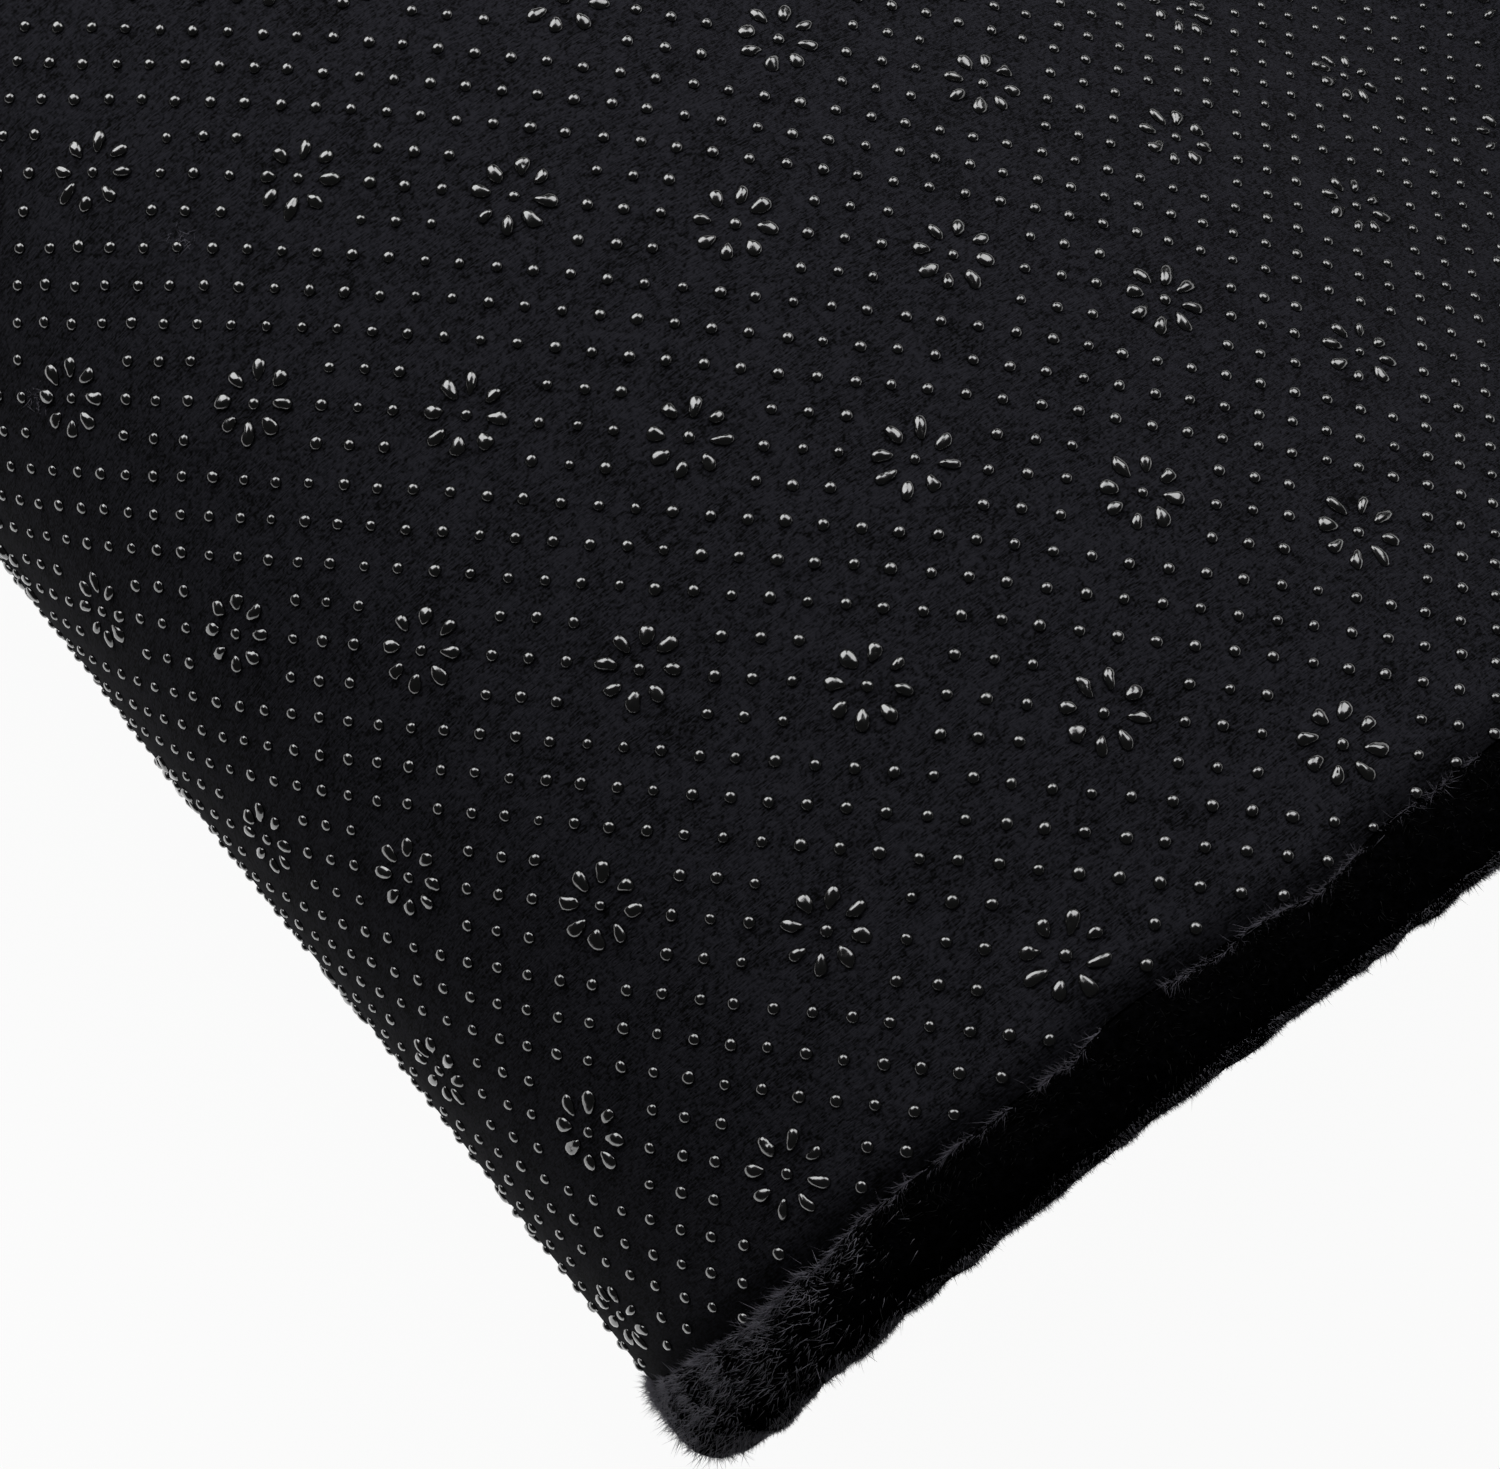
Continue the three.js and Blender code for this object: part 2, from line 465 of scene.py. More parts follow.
def closing_strips(rim, rows, columns):
    """Closes a rim towards the pile with strips that run across the mat, and one flat face at each end."""
    front = rim[:rows]
    back = rim[rows + columns - 1 : 2 * rows + columns - 1][::-1]
    high_end = rim[rows - 1 : rows + columns]
    low_end = np.concatenate([rim[2 * rows + columns - 2 :], rim[:1]])
    strips = np.stack([front[1:-2], back[1:-2], back[2:-1], front[2:-1]], axis=1)
    low_face = np.concatenate([low_end, [front[1]], [back[1]]])
    high_face = np.concatenate([high_end, [back[-2]], [front[-2]]])
    return [strips, np.stack([low_face, high_face])[:, ::-1]]


def make_mesh(name, points, face_groups, material, cloth_places=None):
    """A smooth piece from points and arrays of faces. cloth_places are flat-mat places for its pattern."""
    mesh = bpy.data.meshes.new(name)
    sizes = np.concatenate([np.full(len(faces), faces.shape[1]) for faces in face_groups])
    corners = np.concatenate([faces.ravel() for faces in face_groups]).astype(np.int32)
    mesh.vertices.add(len(points))
    mesh.vertices.foreach_set("co", np.asarray(points, dtype=np.float32).ravel())
    mesh.loops.add(len(corners))
    mesh.loops.foreach_set("vertex_index", corners)
    mesh.polygons.add(len(sizes))
    starts = np.concatenate([[0], np.cumsum(sizes)[:-1]]).astype(np.int32)
    mesh.polygons.foreach_set("loop_start", starts)
    mesh.polygons.foreach_set("use_smooth", np.ones(len(sizes), dtype=bool))
    if cloth_places is not None:
        layer = mesh.uv_layers.new(name="cloth")
        layer.data.foreach_set("uv", cloth_places[corners].astype(np.float32).ravel())
    mesh.update(calc_edges=True)
    mesh.validate()
    mesh.materials.append(material)
    piece = bpy.data.objects.new(name, mesh)
    bpy.context.scene.collection.objects.link(piece)
    return piece


def add_node(material, kind, settings=None, links=None):
    """A node of a material with its settings, by attribute or socket, and what feeds its sockets."""
    node = material.node_tree.nodes.new(kind)
    for name, value in (settings or {}).items():
        if isinstance(name, str) and hasattr(node, name):
            setattr(node, name, value)
        else:
            node.inputs[name].default_value = value
    for name, source in (links or {}).items():
        material.node_tree.links.new(source, node.inputs[name])
    return node


def new_material(name):
    """An empty node material."""
    material = bpy.data.materials.new(name)
    material.use_nodes = True
    material.node_tree.nodes.clear()
    return material


def finish_material(material, shader):
    """Joins a shader to the material's output."""
    add_node(material, "ShaderNodeOutputMaterial", links={"Surface": shader.outputs[0]})
    return material


def mix_colours(material, factor, first, second):
    """A mix of two colours by a factor socket."""
    mix = add_node(material, "ShaderNodeMix", {"data_type": "RGBA"})
    material.node_tree.links.new(factor, mix.inputs[0])
    mix.inputs[6].default_value = [*first, 1]
    mix.inputs[7].default_value = [*second, 1]
    return mix.outputs[2]


def streaks(material, place, turn, shift):
    """Short fibres lying one way: thin noise stretched along them, with only its crests kept.

    Sizes are millimetres. The real nap is far thinner and is drawn coarser here, or it would blur.
    """
    length, width = 1.5, 0.17
    lain = add_node(
        material,
        "ShaderNodeMapping",
        {
            "Location": [shift, shift, 0],
            "Rotation": [0, 0, math.radians(turn)],
            "Scale": [1 / length, 1 / width, 1],
        },
        {"Vector": place},
    )
    noise = add_node(
        material,
        "ShaderNodeTexNoise",
        {"Scale": 1.0, "Detail": 1.0, "Distortion": 0.6},
        {"Vector": lain.outputs[0]},
    )
    crests = add_node(
        material,
        "ShaderNodeMapRange",
        {"From Min": 0.5, "From Max": 0.78},
        {"Value": noise.outputs["Fac"]},
    )
    return crests.outputs[0]


def weighted_sum(material, parts):
    """Adds sockets up, each by its own weight."""
    total = None
    for socket, weight in parts:
        settings = {"operation": "MULTIPLY_ADD", 1: weight, 2: 0.0}
        node = add_node(material, "ShaderNodeMath", settings, {0: socket})
        if total is not None:
            material.node_tree.links.new(total, node.inputs[2])
        total = node.outputs[0]
    return total


def brushed_tricot(colours):
    """Polyester tricot, brushed: short nap lying three ways over a soft mottle, with no shine."""
    mottle_sizes = (0.45, 1.1, 7.0)
    fine_weight, middling_weight, nap_weight, wide_weight = 1.3, 1.1, 0.4, 0.6
    nap_turns, nap_shift = (62, 18, 104), 40
    darkest, lightest = 1.33, 1.88
    material = new_material("charcoal brushed tricot")
    place = add_node(material, "ShaderNodeUVMap", {"uv_map": "cloth"})
    in_mm = add_node(
        material,
        "ShaderNodeVectorMath",
        {"operation": "SCALE", "Scale": 1 / MM},
        {0: place.outputs[0]},
    ).outputs[0]
    fine, middling, wide = (
        add_node(
            material,
            "ShaderNodeTexNoise",
            {"Scale": 1 / size, "Detail": 2.0, "Roughness": 0.6},
            {"Vector": in_mm},
        ).outputs["Fac"]
        for size in mottle_sizes
    )
    nap = [streaks(material, in_mm, turn, i * nap_shift) for i, turn in enumerate(nap_turns)]
    mottles = [(fine, fine_weight), (middling, middling_weight)]
    height = weighted_sum(material, mottles + [(lain, nap_weight) for lain in nap])
    mottle = weighted_sum(material, [(height, 1.0), (wide, wide_weight)])
    shade = add_node(
        material,
        "ShaderNodeMapRange",
        {"From Min": darkest, "From Max": lightest},
        {"Value": mottle},
    )
    colour = mix_colours(material, shade.outputs[0], colours.cloth_dark, colours.cloth_light)
    bump = add_node(
        material,
        "ShaderNodeBump",
        {"Strength": 0.6, "Distance": 0.1 * MM},
        {"Height": height},
    )
    shader = add_node(
        material,
        "ShaderNodeBsdfPrincipled",
        {
            "Roughness": 0.95,
            "Specular IOR Level": 0.08,
            "Sheen Weight": 0.03,
            "Sheen Roughness": 0.4,
        },
        {"Base Color": colour, "Normal": bump.outputs[0]},
    )
    return finish_material(material, shader)


def moulded_vinyl(colours):
    """Soft vinyl, printed on as a paste and set: smooth beads with a wet gloss."""
    material = new_material("black soft vinyl beads")
    place = add_node(material, "ShaderNodeTexCoord")
    skin = add_node(
        material,
        "ShaderNodeTexNoise",
        {"Scale": 1 / (0.8 * MM), "Detail": 1.0},
        {"Vector": place.outputs["Object"]},
    )
    bump = add_node(
        material,
        "ShaderNodeBump",
        {"Strength": 0.5, "Distance": 0.1 * MM},
        {"Height": skin.outputs["Fac"]},
    )
    shader = add_node(
        material,
        "ShaderNodeBsdfPrincipled",
        {
            "Base Color": [*colours.dots, 1],
            "Roughness": 0.2,
            "IOR": 1.6,
            "Specular IOR Level": 1.0,
            "Coat Weight": 1.0,
            "Coat Roughness": 0.12,
            "Coat IOR": 1.6,
        },
        {"Normal": bump.outputs[0]},
    )
    return finish_material(material, shader)


def pile_body(colours):
    """Long polyester pile, sheared: clumps of fibre end-on to the eye, so that they swallow the light; the
    shade between the clumps is painted into the colour.
    """
    clump_size = 1.1
    material = new_material("black polyester pile")
    place = add_node(material, "ShaderNodeTexCoord")
    clumps = add_node(
        material,
        "ShaderNodeTexNoise",
        {"Scale": 1 / (clump_size * MM), "Detail": 4.0, "Roughness": 0.7},
        {"Vector": place.outputs["Object"]},
    )
    shade = add_node(
        material,
        "ShaderNodeMapRange",
        {"From Min": 0.4, "From Max": 0.75},
        {"Value": clumps.outputs["Fac"]},
    )
    # Painted shade: the clump noise darkens the pile where it sinks between clumps
    colour = mix_colours(material, shade.outputs[0], colours.pile_deep_painted_shade, colours.pile_dark)
    bump = add_node(
        material,
        "ShaderNodeBump",
        {"Strength": 0.9, "Distance": 0.6 * MM},
        {"Height": clumps.outputs["Fac"]},
    )
    shader = add_node(
        material,
        "ShaderNodeBsdfPrincipled",
        {"Roughness": 1.0, "Specular IOR Level": 0.0},
        {"Base Color": colour, "Normal": bump.outputs[0]},
    )
    return finish_material(material, shader)


def pile_fibre(name, colour):
    """Single polyester fibres, dyed black, with a soft glint along each one; the greys given to most of
    them are painted sheen and rim light.
    """
    material = new_material(name)
    shader = add_node(
        material,
        "ShaderNodeBsdfPrincipled",
        {
            "Base Color": [*colour, 1],
            "Roughness": 0.6,
            "Specular IOR Level": 0.2,
        },
    )
    return finish_material(material, shader)


def studio_floor(colours):
    """Painted board: white to the camera and in reflections, with the mat's shadow kept."""
    white_share = 0.95
    material = new_material("white painted board")
    board = add_node(
        material,
        "ShaderNodeBsdfDiffuse",
        {"Color": [*colours.floor, 1], "Roughness": 1.0},
    )
    white = add_node(material, "ShaderNodeEmission", {"Color": [1, 1, 1, 1], "Strength": 1.0})
    path = add_node(material, "ShaderNodeLightPath")
    seen = add_node(
        material,
        "ShaderNodeMath",
        {"operation": "MAXIMUM"},
        {0: path.outputs["Is Camera Ray"], 1: path.outputs["Is Glossy Ray"]},
    )
    through = add_node(
        material,
        "ShaderNodeMath",
        {"operation": "MAXIMUM"},
        {0: seen.outputs[0], 1: path.outputs["Is Transmission Ray"]},
    )
    share = add_node(
        material,
        "ShaderNodeMath",
        {"operation": "MULTIPLY", 1: white_share},
        {0: through.outputs[0]},
    )
    shader = add_node(
        material,
        "ShaderNodeMixShader",
        links={0: share.outputs[0], 1: board.outputs[0], 2: white.outputs[0]},
    )
    return finish_material(material, shader)


def dome(rings, segments, capped):
    """A unit dome as (length, width, height) points and its faces. It starts a little under the cloth.

    The mat's width runs against the row frame's Y, so the faces are turned over.
    """
    sink = 0.25
    angles = np.linspace(0, math.pi / 2, rings + 1)[:-1]
    around = np.arange(segments) * 2 * math.pi / segments
    levels = np.concatenate([[-sink], np.sin(angles[1:])])
    reach = np.cos(angles)
    points = [[r * math.cos(t), r * math.sin(t), z] for r, z in zip(reach, levels) for t in around]
    points.append([0, 0, 1])
    numbers = np.arange(rings * segments).reshape(rings, segments)
    sides = [ring_quads(upper, lower) for lower, upper in zip(numbers, numbers[1:])]
    last = numbers[-1]
    faces = [np.stack([np.full(segments, rings * segments), last, np.roll(last, -1)], axis=1)]
    if sides:
        faces.append(np.concatenate(sides))
    if capped:
        faces.append(numbers[:1, ::-1])
    return np.array(points), [group[:, ::-1] for group in faces]


def repeat_faces(faces, points_each, copies):
    """The faces of a template, repeated for each copy of its points."""
    steps = np.arange(copies) * points_each
    return [(group[None] + steps[:, None, None]).reshape(-1, group.shape[1]) for group in faces]


class GripLayout:
    """Where the dots and petals lie on the mat: (a, b, angle, half length, half width, height)."""

    def __init__(self, form, grip):
        self.form = form
        self.grip = grip
        self.random = np.random.default_rng(SEEDS["print"])
        past_the_ends = 1.5
        reach = int(past_the_ends * form.cut.length / grip.pitch)
        i, j = (n.ravel() for n in np.meshgrid(np.arange(-reach, reach), np.arange(-reach, reach)))
        a, b = self.at(i, j)
        inside = self.inside(a, b, grip.dot_width / 4)
        i, j, a, b = i[inside], j[inside], a[inside], b[inside]
        near_i = (i + 1) % grip.flower_step <= 2
        near_j = (j + 1) % grip.flower_step <= 2
        centre = (i % grip.flower_step == 0) & (j % grip.flower_step == 0)
        self.dots = self.dot_rows(a, b, ~(near_i & near_j) | centre)
        self.petals = self.petal_rows(i[centre], j[centre])

    def at(self, i, j):
        """A lattice place on the flat mat."""
        grip = self.grip
        first = grip.pitch * (i + grip.slant * j)
        second = grip.pitch * grip.row_stretch * j
        cos, sin = math.cos(grip.turn), math.sin(grip.turn)
        along = first * cos - second * sin + grip.shift
        across = first * sin + second * cos + grip.across
        return self.form.unturn(along, across)

    def inside(self, a, b, margin):
        """Whether a place is on the cloth, clear of its cut edge."""
        form = self.form
        radius = form.cut.corner_radius
        middle = (form.low_end + form.high_end) / 2
        da = np.abs(a - middle) - form.cut.length / 2 + radius
        db = np.abs(b) - form.cut_wave(a, b) - form.cut.width / 2 + radius
        outside = np.hypot(np.maximum(da, 0), np.maximum(db, 0)) + np.minimum(np.maximum(da, db), 0)
        return outside < radius - margin

    def wander(self, a, b):
        """The print follows the stretch of the cloth, so its rows run a little unevenly."""
        flat = np.stack([a, b, np.zeros_like(a)], axis=-1)
        wide, spacing, small = 0.00045, 0.035, 0.00009
        shift = [wide * smooth_noise(flat, spacing, seed) for seed in SEEDS["stretch"]]
        return [place + s + self.random.normal(0, small, len(a)) for place, s in zip((a, b), shift)]

    def dot_rows(self, a, b, kept):
        """The dots, each a little out of round and turned at random."""
        a, b = self.wander(a[kept], b[kept])
        spread, least_round = 0.05, 0.93
        size = self.random.normal(1, spread, (2, len(a)))
        half = self.grip.dot_width / 2
        return np.stack(
            [
                a,
                b,
                self.random.uniform(0, math.pi, len(a)),
                half * size[0],
                half * size[0] * self.random.uniform(least_round, 1, len(a)),
                self.grip.dot_height * size[1],
            ],
            axis=1,
        )

    def petal_rows(self, i, j):
        """The petals round each flower's middle dot, pointing outwards."""
        grip = self.grip
        spread, turn_spread, rise = 0.09, 0.12, 1.15
        rows = []
        for k in range(grip.petals):
            angle = 2 * math.pi * k / grip.petals
            reach = grip.petal_ring / grip.pitch
            tip = self.at(i + reach * math.cos(angle), j + reach * math.sin(angle) / grip.row_stretch)
            root = self.at(i, j)
            angles = np.arctan2(tip[1] - root[1], tip[0] - root[0])
            a, b = self.wander(*tip)
            size = self.random.normal(1, spread, (3, len(a)))
            rows.append(
                np.stack(
                    [
                        a,
                        b,
                        angles + self.random.normal(0, turn_spread, len(a)),
                        grip.petal_length / 2 * size[0],
                        grip.petal_width / 2 * size[1],
                        grip.dot_height * rise * size[2],
                    ],
                    axis=1,
                )
            )
        rows = np.concatenate(rows)
        return rows[self.inside(rows[:, 0], rows[:, 1], grip.petal_length / 2)]


def bead_points(form, rows, template, lump, seed):
    """Puts a unit dome at each row of the layout, with uneven lumps."""
    a, b, angle, length, width, height = (rows[:, k, None] for k in range(6))
    u, v, w = (template[None, :, k] for k in range(3))
    lump_size = 0.001
    noise_at = np.stack(np.broadcast_arrays(a + u * length, b + v * width, w * height), axis=-1)
    uneven = 1 + lump * smooth_noise(noise_at, lump_size, seed)
    outer = 1 + lump * np.sign(length - width) * u
    du = u * length * uneven
    dv = v * width * uneven * outer
    at_a = a + du * np.cos(angle) - dv * np.sin(angle)
    at_b = b + du * np.sin(angle) + dv * np.cos(angle)
    rise = w * height * uneven + form.swell(np.broadcast_to(a, at_a.shape), np.broadcast_to(b, at_b.shape))
    return form.place(at_a, at_b, -rise).reshape(-1, 3)


def bead_piece(name, form, sets, material):
    """One piece from several sets of (rows, template, faces, lump)."""
    points, groups, count = [], {}, 0
    for seed, (rows, template, faces, lump) in enumerate(sets):
        if not len(rows):
            continue
        points.append(bead_points(form, rows, template, lump, SEEDS["beads"] + seed))
        for group in repeat_faces(faces, len(template), len(rows)):
            groups.setdefault(group.shape[1], []).append(group + count)
        count += len(rows) * len(template)
    return make_mesh(name, np.concatenate(points), [np.concatenate(g) for g in groups.values()], material)


def cut_depth(cut):
    """Depth of the pile face under the cloth's outer face."""
    return cut.cloth + cut.bond + cut.plush


class PileSurface:
    """The round roll of pile as a surface: a place round the edge and a turn across the roll."""

    def __init__(self, form, pile):
        self.form = form
        self.pile = pile
        self.rise = cut_depth(form.cut) - pile.centre_depth

    def section(self, turn, puff, reach, cut):
        """Offset past the cut and depth. turn 0 is the pile face, 1 the backing side, 2 the cut."""
        angle = math.pi / 2 - math.pi * np.minimum(turn, 1)
        lip = math.pi / 2 * np.clip(turn - 1, 0, 1)
        centre = reach - self.pile.half_width
        below = self.pile.centre_depth + puff
        offset = np.where(
            turn <= 1,
            centre + self.pile.half_width * np.cos(angle),
            centre - (centre - cut - self.form.cut.bond) * np.sin(lip),
        )
        depth = np.where(
            turn <= 1,
            self.pile.centre_depth + np.sin(angle) * np.where(angle > 0, self.rise, below),
            -puff * np.cos(lip),
        )
        return offset, depth

    def at(self, base, normal, turn):
        """Points on the roll for base places (a, b), their outward normals and turns."""
        a, b = base[..., 0], base[..., 1]
        puff = self.form.puff(a, b, self.pile)
        reach = self.form.roll_reach(a, b, self.pile)
        offset, depth = self.section(turn, puff, reach, self.form.cut_wave(a, b))
        flat = base + normal * offset[..., None]
        return self.form.place(flat[..., 0], flat[..., 1], depth)


def displaced(points, normals, pile, share=1.0):
    """Pile stands in clumps: wide soft ones with finer ones on them."""
    fine_spacing, fine_share = 0.35, 0.5
    wide = smooth_noise(points, pile.clump_spacing, SEEDS["clumps"])
    fine = smooth_noise(points, pile.clump_spacing * fine_spacing, SEEDS["fine_clumps"])
    height = pile.clump * (wide + fine_share * fine)
    return points + normals * (height * share)[..., None]


def unit(vectors):
    """The vectors at length 1."""
    return vectors / np.linalg.norm(vectors, axis=-1, keepdims=True)


def vertex_normals(piece):
    """The piece's vertex normals as an array."""
    normals = np.zeros(len(piece.data.vertices) * 3, dtype=np.float32)
    piece.data.vertex_normals.foreach_get("vector", normals)
    return normals.reshape(-1, 3)


def fibre_piece(name, roots, directions, lengths, widths, sections, bend, material, seed):
    """Thin three-sided fibres that taper to a point, joined into one piece."""
    random = np.random.default_rng(seed)
    count = len(roots)
    helper = random.normal(size=(count, 3))
    side = unit(np.cross(directions, helper))
    other = np.cross(directions, side)
    steps = np.arange(sections) / sections
    points = np.zeros((count, 3 * sections + 1, 3))
    curl = bend * lengths[:, None]
    for level, t in enumerate(steps):
        centre = roots + directions * (lengths * t)[:, None] + curl * t * t
        radius = widths / 2 * (1 - t) ** 0.6
        for k in range(3):
            angle = 2 * math.pi * k / 3
            ring = side * math.cos(angle) + other * math.sin(angle)
            points[:, 3 * level + k] = centre + ring * radius[:, None]
    points[:, -1] = roots + directions * lengths[:, None] + curl
    numbers = np.arange(3 * sections).reshape(sections, 3)
    sides = [ring_quads(upper, lower) for lower, upper in zip(numbers, numbers[1:])]
    last = numbers[-1]
    tip = np.stack([last, np.roll(last, -1), np.full(3, 3 * sections)], axis=1)
    foot = numbers[:1, ::-1]
    groups = [np.concatenate([tip, foot])]
    if sides:
        groups.append(np.concatenate(sides))
    faces = repeat_faces(groups, 3 * sections + 1, count)
    return make_mesh(name, points.reshape(-1, 3), faces, material)


def dress(piece, slot, *nodes):
    """What every piece needs: its body and the nodes that it stands for. Its slot argument is not used."""
    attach(piece, BODY)
    if nodes:
        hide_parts(*nodes)
    return piece


class COVERMAT_OT_backing_cloth(bpy.types.Operator):
    """Makes the backing cloth, a thin closed sheet over the whole mat"""

    bl_idname = "covermat.backing_cloth"
    bl_label = "Backing Cloth"

    def execute(self, context):
        form = MatForm(context.scene)
        cut = form.cut
        rows = edge_rows(form, coarse_stations(form))
        columns = CLOTH_COLUMNS
        grid = sheet_grid(rows, 0, columns)
        half = grid[:, :1, 1]
        grid[..., 1] += form.cut_wave(grid[..., 0], grid[..., 1]) * (grid[..., 1] / half) ** 3
        a, b = grid[..., 0], grid[..., 1]
        outer = form.place(a, b, -form.swell(a, b)).reshape(-1, 3)
        rim = border(grid)
        inner = form.place(rim[:, 0], rim[:, 1], cut.cloth)
        count = len(rows)
        outer_rim = border_indices(count, columns)
        inner_rim = len(outer) + np.arange(len(rim))
        faces = [grid_quads(count, columns), ring_quads(outer_rim, inner_rim)]
        faces += closing_strips(inner_rim, count, columns)
        places = np.concatenate([grid.reshape(-1, 2), rim])
        cloth = make_mesh(
            "backing_cloth",
            np.concatenate([outer, inner]),
            faces,
            brushed_tricot(context.scene.mat_colours),
            places,
        )
        dress(cloth, "backing_cloth", "dotted_backing")
        return {"FINISHED"}


class COVERMAT_OT_grip_dots(bpy.types.Operator):
    """Makes the moulded dots and dot flowers, finely where the camera looks closely"""

    bl_idname = "covermat.grip_dots"
    bl_label = "Grip Dots"

    def execute(self, context):
        form = MatForm(context.scene)
        layout = GripLayout(form, context.scene.grip_print)
        vinyl = moulded_vinyl(context.scene.mat_colours)
        near_ends = SHOWN_RANGE[0], SHOWN_RANGE[1] + 0.05
        near_side = -0.02
        shown = {}
        for name, rows in (("dots", layout.dots), ("petals", layout.petals)):
            a, b = rows[:, 0], rows[:, 1]
            near = (a > near_ends[0]) & (a < near_ends[1]) & (b > near_side)
            under = a < form.line.lift_off
            shown[name] = rows[near], rows[~near & ~under], rows[under & ~near]
        fine_dot, fine_petal = dome(3, 10, True), dome(4, 14, True)
        plain_dot, plain_petal = dome(2, 5, True), dome(2, 7, True)
        low_dot, low_petal = dome(1, 4, True), dome(1, 6, True)
        pieces = {
            "grip_dots_front": ((fine_dot, 0.1), (fine_petal, 0.26), 0),
            "grip_dots_upper": ((plain_dot, 0.04), (plain_petal, 0.1), 1),
            "grip_dots_lower": ((low_dot, 0.0), (low_petal, 0.0), 2),
        }
        for name, ((dot, dot_lump), (petal, petal_lump), which) in pieces.items():
            sets = [
                (shown["dots"][which], *dot, dot_lump),
                (shown["petals"][which], *petal, petal_lump),
            ]
            dress(bead_piece(name, form, sets, vinyl), "grip_dots")
        return {"FINISHED"}


class COVERMAT_OT_plush_pile(bpy.types.Operator):
    """Makes the plush with its round roll of pile, standing in clumps"""

    bl_idname = "covermat.plush_pile"
    bl_label = "Plush Pile"

    def execute(self, context):
        form = MatForm(context.scene)
        pile = context.scene.plush_pile
        surface = PileSurface(form, pile)
        rows = edge_rows(form, coarse_stations(form))
        columns = PILE_COLUMNS
        count = len(rows)
        face = sheet_grid(rows, pile.overhang - pile.half_width, columns)
        face_points = form.place(face[..., 0], face[..., 1], cut_depth(form.cut)).reshape(-1, 3)
        base = border(sheet_grid(rows, 0, columns))
        normal = unit(border(sheet_grid(rows, 1, columns)) - base)
        roll_turns = np.linspace(0, 1, ROLL_STEPS + 1)[1:]
        lip_turns = np.linspace(1, 2, LIP_STEPS + 1)[1:]
        turns = np.concatenate([roll_turns, lip_turns])
        rings = [surface.at(base, normal, np.full(len(base), turn)) for turn in turns]
        recess = base + normal * (form.cut.bond + form.cut_wave(*base.T))[:, None]
        rings.append(form.place(recess[:, 0], recess[:, 1], form.cut.cloth + form.cut.bond))
        points = np.concatenate([face_points, *rings])
        numbers = [border_indices(count, columns)]
        for level in range(len(rings)):
            numbers.append(len(face_points) + level * len(base) + np.arange(len(base)))
        sides = np.concatenate([ring_quads(upper, lower) for lower, upper in zip(numbers, numbers[1:])])
        faces = [np.concatenate([grid_quads(count, columns)[:, ::-1], sides])]
        faces += [group[:, ::-1] for group in closing_strips(numbers[-1], count, columns)]
        plush = make_mesh("plush_pile", points, faces, pile_body(context.scene.mat_colours))
        share = np.ones(len(points))
        share[numbers[-1]] = 0
        share[numbers[-2]] = 0
        moved = displaced(points, vertex_normals(plush), pile, share)
        moved[:, 2] = np.maximum(moved[:, 2], 0)
        plush.data.vertices.foreach_set("co", moved.astype(np.float32).ravel())
        plush.data.update()
        dress(plush, "plush_pile", "plush_face")
        return {"FINISHED"}


@dataclass
class Fur:
    """Fibres of one kind on the roll. Sizes and places along the mat are metres.

    Turns run over the roll from the pile face at 0 to the cut edge at 2, and a lean is a share
    of the length along the mat.
    """

    name: str
    colour: str
    count: int
    sections: int
    turns: tuple
    length: float
    width: float
    lean: float
    upright: float
    curl: float
    places: tuple = SHOWN_RANGE
    patchy: float = 0
    fade: tuple = None
    thinning: float = 1


# On the shown edge. Real pile is some 0.02 mm thick: these fibres are fewer and coarser, each
# one standing for several, because a mat's own number of them is far past what a scene can hold.
SHOWN_FUR = (
    # Nose fibres: black pile coloured light grey as painted sheen
    Fur(
        name="nose",
        colour="pile_tips_painted_sheen",
        count=18500,
        sections=2,
        turns=(0.62, 1.86),
        length=0.0020,
        width=0.00015,
        lean=-0.8,
        upright=0.22,
        curl=0.4,
        places=(-0.134, 0.0),
        fade=(-0.01, -0.06),
    ),
    # Rim fibres: black pile coloured light grey as painted rim light
    Fur(
        name="rim",
        colour="pile_rim_painted_light",
        count=23000,
        sections=1,
        turns=(0.42, 0.72),
        length=0.0008,
        width=0.0001,
        lean=-0.2,
        upright=0.8,
        curl=0.2,
        places=(-0.134, 0.13),
        thinning=2,
    ),
    # Fringe fibres: black pile at the cut edge in the lint grey, as painted sheen
    Fur(
        name="fringe",
        colour="lint_and_painted_sheen",
        count=10500,
        sections=2,
        turns=(1.9, 2.0),
        length=0.0013,
        width=0.0001,
        lean=-0.9,
        upright=0.1,
        curl=0.7,
        places=(-0.125, 0.13),
        patchy=0.25,
    ),
    Fur(
        name="deep",
        colour="pile_dark",
        count=3500,
        sections=2,
        turns=(0.5, 1.8),
        length=0.0020,
        width=0.00013,
        lean=-0.5,
        upright=0.5,
        curl=0.2,
        places=(-0.06, 0.13),
    ),
)

# Two specks of lint on the cloth, as places on the flat mat
LINT_SPECKS = ((-0.0495, 0.0394), (-0.0171, 0.0397))


